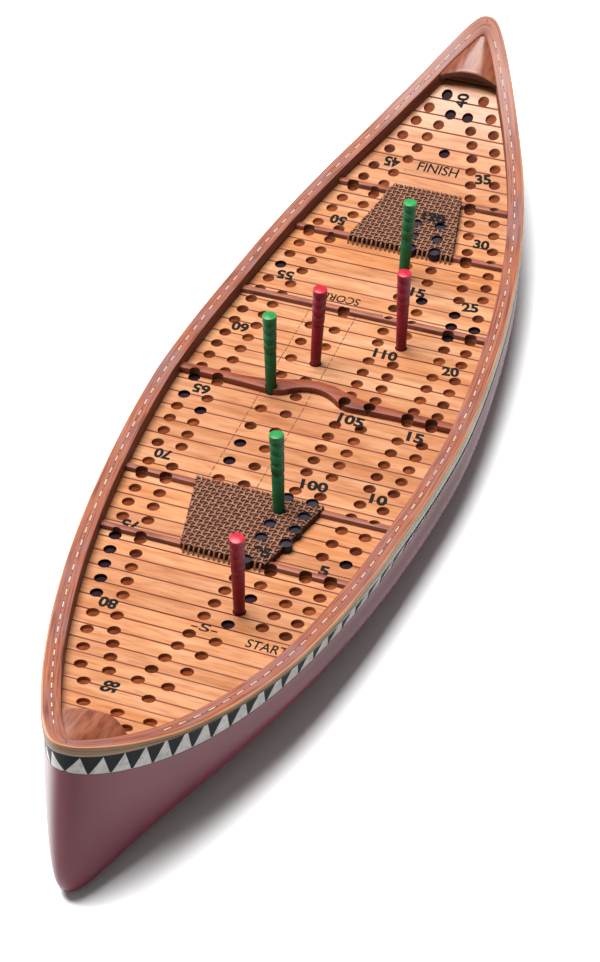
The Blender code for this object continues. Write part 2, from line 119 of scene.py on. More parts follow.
# drilled tracks: the line each one follows, then the middle and pitch of every group of five holes
STARBOARD_OUTER = (
    ((-96, -27.4), (-82, -30.0), (-69, -31.8), (-54, -33.5), (-35, -34.9), (-15, -36.1), (10, -36.4),
     (30, -36.1), (48, -34.9), (60, -33.7), (75, -31.6), (92, -28.4), (105, -24.9), (123, -19.4)),
    ((-82.5, 6.1), (-47.8, 6.4), (-15.2, 5.8), (16.7, 5.9), (48.0, 5.8), (80.7, 5.95), (111.5, 5.7)),
)
STARBOARD_INNER = (
    ((-94, -20.5), (-82, -22.9), (-69, -24.5), (-54, -26.1), (-35, -27.8), (-15, -28.6), (10, -29.0),
     (28, -29.2), (42, -28.4), (59, -26.3), (73, -24.5), (91, -20.4), (103, -17.2), (121, -11.8)),
    ((-82.0, 5.85), (-47.2, 6.3), (-15.5, 5.8), (16.4, 5.75), (47.5, 5.75), (78.2, 5.9), (109.3, 5.85)),
)
PORT_OUTER = (
    ((-97, 26.7), (-84, 29.9), (-72, 32.0), (-56, 34.6), (-37, 36.3), (-17, 38.1), (5, 38.6),
     (22, 38.3), (40, 37.0), (58, 34.9), (77, 32.1), (91, 29.7), (104, 26.4), (121, 21.7)),
    ((-84.1, 6.2), (-50.3, 6.4), (-16.8, 5.95), (15.6, 5.95), (45.9, 5.8), (77.6, 6.1), (109.5, 5.9)),
)
PORT_INNER = (
    ((-95, 19.7), (-83, 22.3), (-71, 24.7), (-56, 27.0), (-37, 28.9), (-16, 30.8), (5, 31.1),
     (22, 30.4), (40, 29.8), (57, 27.3), (76, 24.3), (89, 22.2), (102, 18.9), (119, 14.3)),
    ((-82.9, 5.95), (-50.0, 6.2), (-16.4, 5.9), (15.5, 5.9), (45.4, 5.8), (76.4, 6.0), (108.1, 5.8)),
)
HOME_STARBOARD = (
    ((-96, -11.4), (-84, -13.1), (-70, -14.4), (-48, -15.7), (-26, -16.3), (-3, -16.9), (18, -16.5),
     (38, -15.7), (62, -14.5), (77, -12.6), (84, -11.5), (97, -9.2)),
    ((-83.4, 6.2), (-47.9, 6.3), (-14.3, 5.9), (17.6, 5.95), (50.3, 6.0), (83.9, 6.2)),
)
HOME_PORT = (
    ((-95, -4.1), (-83, -5.4), (-70, -7.0), (-48, -8.2), (-26, -8.6), (-3, -9.0), (18, -8.7),
     (38, -8.2), (61, -7.2), (71, -5.4), (78, -4.4), (96, -1.6)),
    ((-82.8, 6.0), (-47.9, 6.3), (-14.7, 5.85), (17.4, 5.8), (50.1, 5.9), (83.5, 6.1)),
)
TRACKS = (STARBOARD_OUTER, STARBOARD_INNER, PORT_OUTER, PORT_INNER, HOME_STARBOARD, HOME_PORT)
TURN_SHIFT = 0.8
BOW_TURN_INNER = ((147.4, 3.0), (142.8, 5.6), (137.5, 7.8), (132.2, 9.5), (126.8, 10.9))
BOW_TURN_OUTER = ((154.0, 6.4), (148.5, 10.8), (142.9, 13.5), (136.3, 16.0), (129.7, 18.3))
STERN_OUT_INNER = ((-103.5, 17.7), (-109.7, 15.9), (-115.1, 13.9), (-120.7, 12.1), (-126.4, 10.0))
STERN_OUT_OUTER = ((-104.7, 24.3), (-111.9, 22.8), (-119.3, 20.6), (-126.6, 18.0), (-133.3, 14.1))
STERN_BACK_INNER = ((-127.0, 1.5), (-121.2, 0.1), (-115.3, -1.2), (-109.2, -2.3), (-103.2, -3.2))
STERN_BACK_OUTER = ((-133.7, -4.4), (-126.7, -6.9), (-118.6, -8.9), (-110.7, -9.8), (-103.9, -11.1))
FINISH_HOLE = (132.0, 0.8)
PARKING_HOLES = ((-142.5, 10.0), (-143.1, 0.2), (-143.6, -9.1), (-149.2, 5.0), (-149.2, -4.8))
GAMES_START = 48.2
GAMES_PITCH = 8.6
GAMES_ROWS = 11
GAMES_COLUMNS = (14.3, 6.4)

# cross members
MEMBER_WIDTH = 2.1
MEMBER_HEIGHT = 1.6
MEMBER_SINK = 0.3
BOW_SEAT_RAILS = (110.5, 85.0)
STERN_SEAT_RAILS = (-42.9, -69.3)
THWART_X = 49.0
THWART_WIDTH = 2.2
YOKE_HEIGHT = 2.2
YOKE_MIDDLE_X = 8.0
YOKE_ENDS_X = 7.0
YOKE_SHIFT = 1.5
YOKE_BOW_EDGE = ((0.0, 12.4), (5.0, 11.7), (10.0, 9.9), (15.0, 8.4), (22.0, 7.5), (50.0, 7.1))
YOKE_STERN_EDGE = (
    (0.0, 8.6), (3.0, 8.2), (6.0, 6.8), (8.5, 4.7), (10.5, 3.8), (13.0, 3.6), (18.0, 3.9), (26.0, 4.3), (50.0, 4.4),
)

# woven seats: bow and stern ends, then the half widths at those ends
BOW_CANE = ((111.8, 83.7), (11.7, 17.5))
STERN_CANE = ((-42.1, -70.6), (19.4, 12.7))
CANE_LIFT = 2.55
STRAND_RADIUS = 0.29
STRAND_PITCH = 1.55
WEAVE_LIFT = 0.26
WEAVE_STEPS = 6
CANE_MARGIN = 0.4
CUP_RIM = 0.12
CUP_DEPTH = 0.7
CUP_BORE = 0.93

# end plates
BOW_PLATE_EDGE = 156.2
STERN_PLATE_EDGE = -153.4
PLATE_CROWN = 3.0
PLATE_EDGE_DROP = 0.45
PLATE_THICKNESS = 1.9
PLATE_CUT_BACK = 9.0
PLATE_TIP = 169.5

# pegs: profile as (height, radius), then the hole nearest to each and its lean in degrees toward +X and +Y
PEG_IN_HOLE = 5.4
PEG_PROFILE = (
    (0.0, 0.0), (0.0, 0.7), (0.3, 0.85), (1.2, 1.05), (5.4, 1.6), (20.3, 1.82), (20.6, 1.68), (21.2, 1.68),
    (21.5, 1.92), (23.9, 1.95), (24.2, 1.74), (24.8, 1.74), (25.1, 1.99), (27.5, 2.02), (27.8, 1.8), (28.4, 1.8),
    (28.7, 2.06), (30.7, 2.08), (31.0, 1.86), (31.5, 1.86), (31.8, 2.12), (33.55, 2.16), (33.85, 2.08), (34.0, 1.86),
    (33.98, 0.0),
)
PEGS = {
    "red_peg_1": ((37.5, -16.2), (0.0, -0.8)),
    "red_peg_2": ((22.25, 6.2), (0.0, -2.9)),
    "red_peg_3": ((-89.2, -13.0), (-3.5, -1.0)),
    "green_peg_1": ((71.3, -5.4), (2.5, -2.3)),
    "green_peg_2": ((4.95, 14.3), (0.0, 0.6)),
    "green_peg_3": ((-47.9, -8.1), (4.5, 2.9)),
}

# lettering: text, x, y, turn in degrees from reading to starboard, then height and width where they differ
LABEL_HEIGHT = 4.4
LABEL_WIDTH = 5.4
LABELS = (
    ("5", -65.2, -28.0, 0, 4.2, 2.9), ("10", -30.8, -32.0, 0), ("15", -0.6, -33.1, 0), ("20", 32.4, -33.4, 8),
    ("25", 64.1, -29.7, 10), ("30", 95.0, -23.7, 4), ("35", 124.5, -15.0, 14), ("40", 153.0, 1.6, 90, 4.0, 5.0),
    ("45", 124.3, 16.4, 180), ("50", 92.6, 24.1, 176), ("55", 60.7, 30.5, 184), ("60", 31.4, 34.5, 180),
    ("65", -0.9, 34.5, 180), ("70", -33.1, 33.5, 180), ("75", -66.0, 29.9, 180), ("80", -99.4, 22.1, 180),
    ("85", -133.0, 6.8, -90), ("95", -66.8, -10.2, 0, 4.2, 5.2), ("100", -31.4, -12.7, 4, 4.4, 8.4),
    ("105", 0.6, -12.7, -4, 4.4, 8.4), ("110", 33.5, -12.2, 0, 4.4, 7.8), ("115", 65.8, -10.5, 0, 4.4, 7.8),
    ("120", 99.6, -6.0, 0, 4.2, 7.8), ("FINISH", 124.8, 0.6, 0, 4.0, 13.8), ("START", -101.0, -24.7, 0, 3.6, 11.7),
    ("-S-", -99.4, -6.2, 0, 3.2, 7.6), ("SCORE", 55.0, 9.6, 180, 3.4, 12.0),
)
SCORE_LINES = (17.3, 2.4)
SCORE_SPAN = (-41.0, 47.5)

# stage: it is lit past white, so every colour and shine of the object is cut to one share
SHADE = 0.444
WORLD_STRENGTH = 0.2
KEY_SPOT = (0.05, 0.32, 1.2)
KEY_SIZE = 0.8
KEY_POWER = 53.0
FLOOR_SIZE = 3000.0
FLOOR_ROWS = 13
CAMERA_SPOT = (-0.56432, -0.20533, 0.51136)
CAMERA_TURN = (49.24, 0.076, -69.785)
CAMERA_LENS = 97.53

# grained finishes: dark, middle, light and pore colours, features per metre along each axis, roughness, coat,
# coordinates, depth of the grain, how much finer the pores are, and how strongly they show
LONG_GRAIN = (34, 1100, 34)
PEG_GRAIN = (160, 160, 500)
FINISHES = {
    "deck_planks": ("CC8C5C DC9E72 E8B48C B86E42", (260, 34, 260), 0.42, 0.25, "Object", 0.15, 3.6, 0.3),
    "plank_seam": ("7A3418 8A3E20 9A4A2A 5E2810", (300, 60, 300), 0.6),
    # dark brown floor of each open hole: painted shade standing for the depth of the hole
    "hole_floor_shade": ("84401E 944C28 A25A34 6E3416", (200, 200, 500), 0.6),
    "hole_side": ("D88E64 E4986C ECA67C B87248", (200, 200, 500), 0.6),
    "dark_hole": ("26121A 301822 3A2028 1A0C12", (200, 200, 400), 0.6),
    "rail_wood": ("9A5A4C B0654A BE7658 5E2A1E", (30, 900, 30), 0.5, 0.1, "UV", 0.35, 2.2, 0.6),
    # light orange on the rounded outer edge of the rail: a painted highlight where that edge catches the light
    "rail_edge_highlight": ("C88658 DC9A6C E8AC80 9A5A34", LONG_GRAIN, 0.45, 0.1, "UV", 0.2, 2.0, 0.4),
    # a slightly darker, unshiny copy of the rail wood for the inner wall: painted shade
    "rail_inside_shade": ("94543E A6604A B26E56 6E3422", (34, 900, 34), 0.6, 0.0, "UV", 0.3, 2.0, 0.5),
    "outwale_wood": ("8A6440 9A7450 AA8660 624020", LONG_GRAIN, 0.5, 0.1, "UV", 0.3, 2.0, 0.5),
    "plate_wood": ("904A30 9A5438 B06C50 64301C", (50, 330, 120), 0.4, 0.3, "Object", 0.06, 3.0, 0.4),
    # dark brown for the underside and free edge of the end plates: painted shade under the arch
    "plate_underside_shade": ("4E2414 5C2C1A 6A3622 2A1208", (90, 60, 500), 0.5),
    "member_wood": ("94503A A86048 B8705A 5E2A1C", (420, 40, 420), 0.55, 0.0, "Object", 0.25, 3.0, 0.45),
    "yoke_wood": ("8A3E28 9A4A30 AA563A 542214", (300, 36, 300), 0.55, 0.0, "Object", 0.25, 3.0, 0.5),
    # darker wood for the walls of the hole bites in the cross members: painted shade inside the holes
    "bitten_wood_shade": ("70402C 804A34 8E563E 50281A", (300, 300, 300), 0.6),
    # near-black for the holes through the woven seats: painted shade standing for the depth of the hole
    "cane_hole_shade": ("241C28 2C2230 362A38 140E16", (300, 300, 300), 0.5),
    "band_slate": ("0E151A 131B21 1A242A 0A1014", (160, 160, 160), 0.5),
    "band_white": ("BAB6B2 C8C4C0 D4D0CC 9C9894", (200, 200, 200), 0.42, 0.3),
    "cane_strand": ("946048 A87054 BC8468 643A28", (500, 500, 500), 0.5, 0.1),
    # dark brown block under the weave: painted shade seen through the gaps between strands and on the panel's sides
    "cane_ground": ("4A2A1A 583220 683E2A 2C180E", (600, 600, 600), 0.7),
    "stitch_thread": ("D8C8B0 E8DAC6 F4EADC B8A488", (900, 900, 900), 0.7),
    "stitch_hole": ("3A1A12 442016 50281C 200E08", (900, 900, 900), 0.8),
    "lettering_ink": ("040304 060506 0C0A0C 020202", (700, 700, 700), 0.9),
    "score_line": ("7A4020 8A4C28 985A34 50280F", (700, 700, 700), 0.6),
    "red_peg": ("A01A34 AA1E38 B42642 8C142A", PEG_GRAIN, 0.45, 0.1, "Object", 0.05, 3.0, 0.12),
    "green_peg": ("187040 1C7A46 24844E 105C30", PEG_GRAIN, 0.45, 0.1, "Object", 0.05, 3.0, 0.12),
    # peg tops: brighter copies of the peg colours, painted light where the tops face the lamp
    "red_peg_lit_top": ("C81E38 E02A44 EC3C54 A01428", PEG_GRAIN, 0.4, 0.2, "Object", 0.1),
    "green_peg_lit_top": ("288E46 30A050 40B262 187034", PEG_GRAIN, 0.4, 0.2, "Object", 0.1),
}
# finishes with hardly any reflection, so that they stay dark
DULL_FINISHES = ("hole_floor_shade", "dark_hole", "band_slate")
DULL_SPECULAR = 0.05


# ---- shape of the canoe

def outline(x):
    """Half-width of the rim outline at station x."""
    u = np.clip(np.abs(x) / HALF_LENGTH, 0.0, 1.0)
    return HALF_BEAM * (1.0 - u ** 1.58) ** 0.397 * (1.0 - 0.193 * u ** 2 - 0.375 * u ** 5)


def table_value(table, x):
    """Value at x of a table of (position, value) pairs."""
    return np.interp(x, [point[0] for point in table], [point[1] for point in table])


def bow_lift(x):
    """Extra height of the rim toward the bow."""
    share = (np.asarray(x) - BOW_LIFT_START) / (HALF_LENGTH - BOW_LIFT_START)
    return BOW_LIFT * np.clip(share, 0.0, 1.0) ** 2


def rim_top(x):
    """Height of the top of the rim at station x."""
    u = np.abs(x) / HALF_LENGTH
    end_rise = np.where(np.asarray(x) > 0.0, SHEER_BOW, SHEER_STERN)
    return RIM_HEIGHT + end_rise * u ** 6 + SHEER_EVEN * u ** 2 + bow_lift(x)


def deck_top(x):
    """Height of the playing deck at station x, which stays below while the bow of the rim lifts."""
    return rim_top(x) - DECK_DROP - bow_lift(x)


def swell(x, y=HALF_BEAM, side=-1.0):
    """Extra half-width of the rim on one side at station x, faded out next to the centreline."""
    table = STARBOARD_SWELL if side < 0.0 else PORT_SWELL
    return table_value(table, x) * np.clip(np.asarray(y) / SWELL_FADE, 0.0, 1.0)


def band_recess(x):
    """How far the foot of the band is let in at station x."""
    u = min(1.0, abs(x) / HALF_LENGTH)
    return BAND_RECESS * (1.0 - u * u) ** 1.3


def side_path(steps):
    """Points along the port rim from stern to bow, their inward normals and the length run so far."""
    dense = np.linspace(-math.pi / 2, math.pi / 2, steps * 16 + 1)
    x = HALF_LENGTH * np.sin(dense)
    y = outline(x)
    dx = np.gradient(x)
    dy = np.gradient(y)
    length = np.hypot(dx, dy)
    normal_x = dy / length
    normal_y = -dx / length
    normal_x[0], normal_y[0] = 1.0, 0.0
    normal_x[-1], normal_y[-1] = -1.0, 0.0
    run = np.concatenate([[0.0], np.cumsum(np.hypot(np.diff(x), np.diff(y)))])
    pick = slice(None, None, 16)
    return x[pick], y[pick], normal_x[pick], normal_y[pick], run[pick]


def inset_point(x, y, normal_x, normal_y, distance):
    """Point moved inward from the rim, stopped at the centreline."""
    if distance > 0.0 and abs(normal_y) > 1e-9:
        distance = min(distance, y / abs(normal_y))
    return x + distance * normal_x, max(y + distance * normal_y, 0.0)


def inset_curve(distance):
    """Outline moved inward by a distance, as rising x and matching y arrays."""
    x, y, normal_x, normal_y, _ = side_path(400)
    moved_x = x + distance * normal_x
    moved_y = y + distance * normal_y
    keep = moved_y > 0.0
    order = np.argsort(moved_x[keep])
    return moved_x[keep][order], moved_y[keep][order]


INSETS = {distance: inset_curve(distance) for distance in (DECK_INSET, RAIL_INSET)}


def half_width(x, distance):
    """Half-width at station x of the outline inset by a distance."""
    curve_x, curve_y = INSETS[distance]
    return np.interp(x, curve_x, curve_y, left=0.0, right=0.0)


# ---- materials

def srgb(code):
    """Linear colour from a hex triplet, darkened for the strong light."""
    values = [int(code[index:index + 2], 16) / 255.0 for index in (0, 2, 4)]
    return tuple(SHADE * (v / 12.92 if v <= 0.04045 else ((v + 0.055) / 1.055) ** 2.4) for v in values) + (1.0,)


def new_paint(name, colour, roughness, coat=0.0, coat_roughness=0.15):
    """Material with a Principled shader, and that shader.

    Colours and shine are cut to a fixed share, because the stage is lit past white.
    """
    material = bpy.data.materials.new(name)
    material.use_nodes = True
    shader = material.node_tree.nodes["Principled BSDF"]
    shader.inputs["Specular IOR Level"].default_value = 0.5 * SHADE
    shader.inputs["Base Color"].default_value = srgb(colour)
    shader.inputs["Roughness"].default_value = roughness
    shader.inputs["Coat Weight"].default_value = coat * SHADE
    shader.inputs["Coat Roughness"].default_value = coat_roughness
    material.diffuse_color = srgb(colour)
    return material, shader


def add_node(material, kind, **inputs):
    """New shader node; each input takes a value, or the output that it is linked to."""
    node = material.node_tree.nodes.new("ShaderNode" + kind)
    for name, value in inputs.items():
        socket = node.inputs[name.replace("_", " ")]
        if isinstance(value, bpy.types.NodeSocket):
            material.node_tree.links.new(value, socket)
        else:
            socket.default_value = value
    return node


def add_noise(material, stretch, detail=4.0, coordinates="Object", distortion=0.0):
    """Noise texture stretched by a factor for each axis, in features per metre."""
    source = add_node(material, "TexCoord").outputs[coordinates]
    spread = add_node(material, "Mapping", Vector=source, Scale=stretch).outputs["Vector"]
    noise = add_node(material, "TexNoise", Vector=spread, Scale=1.0, Detail=detail, Distortion=distortion)
    return noise.outputs["Fac"]


def add_ramp(material, factor, stops, strength=1.0):
    """Colour ramp driven by a factor; stops are (position, hex colour), scaled by a strength."""
    ramp = add_node(material, "ValToRGB", Fac=factor)
    elements = ramp.color_ramp.elements
    while len(elements) < len(stops):
        elements.new(0.5)
    for element, (position, colour) in zip(elements, stops):
        element.position = position
        element.color = [value * strength for value in srgb(colour)[:3]] + [1.0]
    return ramp.outputs["Color"]


def add_mix(material, first, second, factor, mode="MIX"):
    """Mix of two colour outputs; the factor is a number or an output."""
    mix = material.node_tree.nodes.new("ShaderNodeMix")
    mix.data_type = "RGBA"
    mix.blend_type = mode
    links = material.node_tree.links
    links.new(first, mix.inputs[6])
    links.new(second, mix.inputs[7])
    if isinstance(factor, float):
        mix.inputs[0].default_value = factor
    else:
        links.new(factor, mix.inputs[0])
    return mix.outputs[2]


def add_bump(material, shader, height, strength, distance):
    bump = add_node(material, "Bump", Height=height, Strength=strength, Distance=distance * MM)
    material.node_tree.links.new(bump.outputs["Normal"], shader.inputs["Normal"])


def add_along(material, start, end):
    """Share from 0 to 1 of the way between two stations along the canoe, in metres."""
    parts = add_node(material, "SeparateXYZ", Vector=add_node(material, "TexCoord").outputs["Object"])
    return add_node(material, "MapRange", Value=parts.outputs["X"], From_Min=start, From_Max=end).outputs["Result"]


def wood(name, colours, stretch, roughness, coat=0.0, coordinates="Object", bump=0.15, fine=3.0, contrast=0.35):
    """Grained wood: a broad stretched noise for the colour and a finer one for the pores."""
    dark, middle, light, pore = colours.split()
    material, shader = new_paint(name, middle, roughness, coat)
    broad = add_noise(material, stretch, 5.0, coordinates, 0.6)
    base = add_ramp(material, broad, ((0.3, dark), (0.5, middle), (0.72, light)))
    narrow = add_noise(material, [value * fine for value in stretch], 3.0, coordinates)
    pores = add_ramp(material, narrow, ((0.36, pore), (0.52, "FFFFFF")), 1.0 / SHADE)
    colour = add_mix(material, base, pores, contrast, "MULTIPLY")
    material.node_tree.links.new(colour, shader.inputs["Base Color"])
    add_bump(material, shader, narrow, bump, 0.12)
    if name in DULL_FINISHES:
        shader.inputs["Specular IOR Level"].default_value = DULL_SPECULAR
    return material


def overlay(material, layer, factor, mode="MIX"):
    """Mixes another colour layer over a material's own colour."""
    socket = material.node_tree.nodes["Principled BSDF"].inputs["Base Color"]
    mixed = add_mix(material, socket.links[0].from_socket, layer, factor, mode)
    material.node_tree.links.new(mixed, socket)


def overlay_tone(material, stops, factor):
    """Darkens a material by the tone kept on each face of the mesh."""
    tone = add_node(material, "Attribute")
    tone.attribute_name = "tone"
    overlay(material, add_ramp(material, tone.outputs["Fac"], stops, 1.0 / SHADE), factor, "MULTIPLY")


def make_materials():
    """Every material of the object, by name."""
    kit = {name: wood(name, *values) for name, values in FINISHES.items()}

    overlay_tone(kit["hole_floor_shade"], ((0.0, "8E6E6A"), (0.25, "C8A898"), (0.6, "E8D2C4"), (1.0, "FFF2E4")), 0.9)
    deck = kit["deck_planks"]
    overlay_tone(deck, ((0.0, "E9D2BE"), (0.5, "FFF6EE"), (1.0, "FFE6C8")), 0.8)
    speck = add_noise(deck, (420, 300, 420), 2.0)
    overlay(deck, add_ramp(deck, speck, ((0.17, "9A5A2C"), (0.24, "FFFFFF")), 1.0 / SHADE), 0.6, "MULTIPLY")

    rail = kit["rail_wood"]
    # grey-violet patches mixed over the rail top: a painted sheen on the mottled wood
    sheen_patch = add_noise(rail, (60, 60, 60), 4.0, distortion=0.8)
    sheen_amount = add_ramp(rail, sheen_patch, ((0.46, "000000"), (0.66, "A8A8A8")), 1.0 / SHADE)
    overlay(rail, add_ramp(rail, sheen_patch, ((0.4, "8E7078"), (0.8, "9C7E84"))), sheen_amount)
    edge = kit["outwale_wood"]
    # from the stern tip toward midships the outwale turns khaki-grey: a painted reflection of the white floor
    floor_reflection_khaki = add_ramp(edge, add_noise(edge, (60, 60, 60), 3.0), ((0.35, "ACA48C"), (0.65, "C4BEA8")))
    overlay(edge, floor_reflection_khaki, add_along(edge, -0.13, -0.03))

    hull, shader = new_paint("hull_paint", "7A2038", 0.42, 0.6, 0.18)
    shader.inputs["Specular IOR Level"].default_value = 0.25 * SHADE
    tint = add_ramp(hull, add_noise(hull, (38, 38, 38), 3.0), ((0.35, "741D34"), (0.65, "82263E")))
    hull.node_tree.links.new(tint, shader.inputs["Base Color"])
    add_bump(hull, shader, add_noise(hull, (900, 900, 900), 2.0), 0.05, 0.05)
    kit["hull_paint"] = hull

    kit["floor"], shader = new_paint("floor", "F4F4F4", 0.6)
    shader.inputs["Base Color"].default_value = (0.9, 0.9, 0.9, 1.0)
    return kit


# ---- mesh helpers

def add_object(name, data):
    item = bpy.data.objects.new(name, data)
    bpy.context.collection.objects.link(item)
    return item


def make_piece(name, vertices, faces, materials, slots=None, uvs=None, smooth_angle=None):
    """Mesh object from millimetre vertices; slots gives a material for each face, uvs a pair for each corner."""
    mesh = bpy.data.meshes.new(name)
    mesh.from_pydata([(x * MM, y * MM, z * MM) for x, y, z in vertices], [], faces)
    for material in materials:
        mesh.materials.append(material)
    if slots is not None:
        mesh.polygons.foreach_set("material_index", slots)
    if uvs is not None:
        layer = mesh.uv_layers.new(name="UVMap")
        layer.data.foreach_set("uv", [value for pair in uvs for value in pair])
    work = bmesh.new()
    work.from_mesh(mesh)
    bmesh.ops.remove_doubles(work, verts=work.verts, dist=2e-6)
    bmesh.ops.recalc_face_normals(work, faces=work.faces)
    work.to_mesh(mesh)
    work.free()
    if smooth_angle is not None:
        mesh.shade_smooth()
        mesh.set_sharp_from_angle(angle=math.radians(smooth_angle))
    return add_object(name, mesh)


def place(piece, nodes=(), body="board"):
    """Ties a piece to its body and the CAD nodes it stands for."""
    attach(piece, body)
    if nodes:
        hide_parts(*nodes)


def grid_faces(rows, columns, wrap=False):
    """Quads of a grid stored row by row; wrap joins the last row to the first."""
    faces = []
    for row in range(rows if wrap else rows - 1):
        here = row * columns
        there = ((row + 1) % rows) * columns
        for column in range(columns - 1):
            faces.append((here + column, there + column, there + column + 1, here + column + 1))
    return faces


def add_tube(vertices, faces, rings, first_lid=False, last_lid=False):
    """Adds equal rings of points joined by quads, with lids where they are asked for."""
    base = len(vertices)
    count = len(rings[0])
    for ring in rings:
        vertices.extend(ring)
    for level in range(len(rings) - 1):
        low = base + level * count
        for corner in range(count):
            after = (corner + 1) % count
            faces.append((low + corner, low + after, low + count + after, low + count + corner))
    if first_lid:
        faces.append(tuple(range(base, base + count)))
    if last_lid:
        faces.append(tuple(range(len(vertices) - count, len(vertices))))


def circle(x, y, radius, sides, height, phase=0.0):
    """Points round an upright hole or post, at the height that a function gives for each station."""
    points = []
    for corner in range(sides):
        turn = 2.0 * math.pi * (corner + phase) / sides
        px = x + radius * math.cos(turn)
        points.append((px, y + radius * math.sin(turn), height(px)))
    return points


def oval(middle, along, width, height, sides):
    """Points round a direction, out to a half-width across it and a half-height above it."""
    across = np.cross((0.0, 0.0, 1.0), along)
    across /= np.linalg.norm(across)
    up = np.cross(along, across)
    turns = [2.0 * math.pi * corner / sides for corner in range(sides)]
    return [tuple(middle + across * width * math.cos(turn) + up * height * math.sin(turn)) for turn in turns]


def loft(name, loops, materials):
    """Closed body through equal loops of points, capped at both ends."""
    vertices, faces = [], []
    add_tube(vertices, faces, loops, True, True)
    return make_piece(name, vertices, faces, materials)


def cut_holes(piece, points, low, high, sides=24, smooth_angle=35):
    """Drills upright round holes through a piece; their walls take its last material."""
    vertices, faces = [], []
    for x, y in points:
        rings = [circle(x, y, HOLE_RADIUS, sides, lambda px: level, 0.5) for level in (low, high)]
        add_tube(vertices, faces, rings, True, True)
    if not vertices:
        return
    materials = list(piece.data.materials)
    tool = make_piece("drill", vertices, faces, materials, [len(materials) - 1] * len(faces))
    modifier = piece.modifiers.new("drill", "BOOLEAN")
    modifier.operation = "DIFFERENCE"
    modifier.solver = "EXACT"
    modifier.object = tool
    graph = bpy.context.evaluated_depsgraph_get()
    result = bpy.data.meshes.new_from_object(piece.evaluated_get(graph))
    piece.modifiers.clear()
    piece.data = result
    bpy.data.objects.remove(tool, do_unlink=True)
    result.shade_smooth()
    result.set_sharp_from_angle(angle=math.radians(smooth_angle))


# ---- rim

def rim_sweep(name, profile, materials, slots, smooth_angle=40, steps=240, foot=None):
    """Carries a profile of (inset, drop) points right round the rim, meeting itself at both tips.

    With a foot, everything below the first point is squeezed upward where the starboard rim swells.
    """
    port = list(zip(*side_path(steps)))
    total = 2.0 * port[-1][4]
    spots = [spot[:4] + (1.0, spot[4]) for spot in port]
    spots += [spot[:4] + (-1.0, total - spot[4]) for spot in reversed(port[1:-1])]
    across = [0.0]
    for (inset, drop), (next_inset, next_drop) in zip(profile, profile[1:]):
        across.append(across[-1] + math.hypot(next_inset - inset, next_drop - drop))
    vertices = []
    for px, py, nx, ny, side, _ in spots:
        for inset, drop in profile:
            qx, qy = inset_point(px, py, nx, ny, inset)
            extra = swell(qx, qy, side)
            if foot and side < 0.0:
                head = profile[0][1]
                drop = head + (drop - head) * (1.0 - SWELL_SQUEEZE * extra / (foot - head))
            vertices.append((qx, side * (qy + extra), rim_top(qx) - drop))
    faces = grid_faces(len(spots), len(profile), wrap=True)
    uvs = []
    face_slots = []
    for row in range(len(spots)):
        start = spots[row][5]
        end = spots[row + 1][5] if row + 1 < len(spots) else total
        for column in range(len(profile) - 1):
            low = across[column]
            high = across[column + 1]
            uvs += [(start * MM, low * MM), (end * MM, low * MM), (end * MM, high * MM), (start * MM, high * MM)]
            face_slots.append(slots[column])
    return make_piece(name, vertices, faces, materials, face_slots, uvs, smooth_angle)


RAIL_PROFILE = (
    (1.2, 1.35), (0.0, 1.35), (0.0, 0.75), (0.06, 0.4), (0.25, 0.14), (0.55, 0.02), (1.0, 0.0), (2.2, 0.0),
    (3.6, 0.0), (4.9, 0.0), (5.08, 0.08), (5.15, 0.3), (5.15, 4.7),
)
# slot 2, on the rounded outer edge, carries the painted highlight
RAIL_SLOTS = (1, 1, 1, 2, 2, 0, 0, 0, 0, 0, 0, 3)
OUTWALE_PROFILE = ((0.9, 1.3), (0.0, 1.3), (-0.14, 1.55), (-0.2, 2.3), (-0.14, 3.1), (0.0, 3.4), (0.4, 3.5))


def stitch_spots():
    """Middle and direction of every stitch, on both rails."""
    track = []
    for x, y, normal_x, normal_y, _ in zip(*side_path(400)):
        inset = np.interp(x, (60.0, 170.0), (STITCH_INSET, STITCH_INSET_BOW))
        px, py = inset_point(x, y, normal_x, normal_y, inset)
        if py > 0.0:
            track.append((px, py, rim_top(px)))
    track = np.array(track)
    run = np.concatenate([[0.0], np.cumsum(np.linalg.norm(np.diff(track, axis=0), axis=1))])
    spots = []
    for side, (first, last) in STITCH_REACH.items():
        at = np.interp(first, track[:, 0], run)
        while at < run[-1]:
            middle, ahead = [
                np.array([np.interp(spot, run, values) for values in track.T]) for spot in (at, at + 0.5)
            ]
            if middle[0] > last:
                break
            along = (ahead - middle) / np.linalg.norm(ahead - middle)
            middle[1] += swell(middle[0], middle[1], side)
            flip = np.array([1.0, side, 1.0])
            spots.append((middle * flip, along * flip))
            at += STITCH_PITCH * table_value(STITCH_CLOSENESS, middle[0])
    return spots


def build_pebbles(name, spots, size, finish, rings, sides):
    """Piece of small rounded bodies, one at each spot and stretched along its direction."""
    vertices, faces = [], []
    for middle, along in spots:
        loops = []
        for ring in range(rings + 1):
            angle = math.pi * ring / rings
            girth = math.sin(angle) ** 0.6 if 0 < ring < rings else 0.0
            centre = middle - along * math.cos(angle) * size[0]
            loops.append(oval(centre, along, size[1] * girth, size[2] * girth, sides))
        add_tube(vertices, faces, loops)
    place(make_piece(name, vertices, faces, [finish], smooth_angle=60))


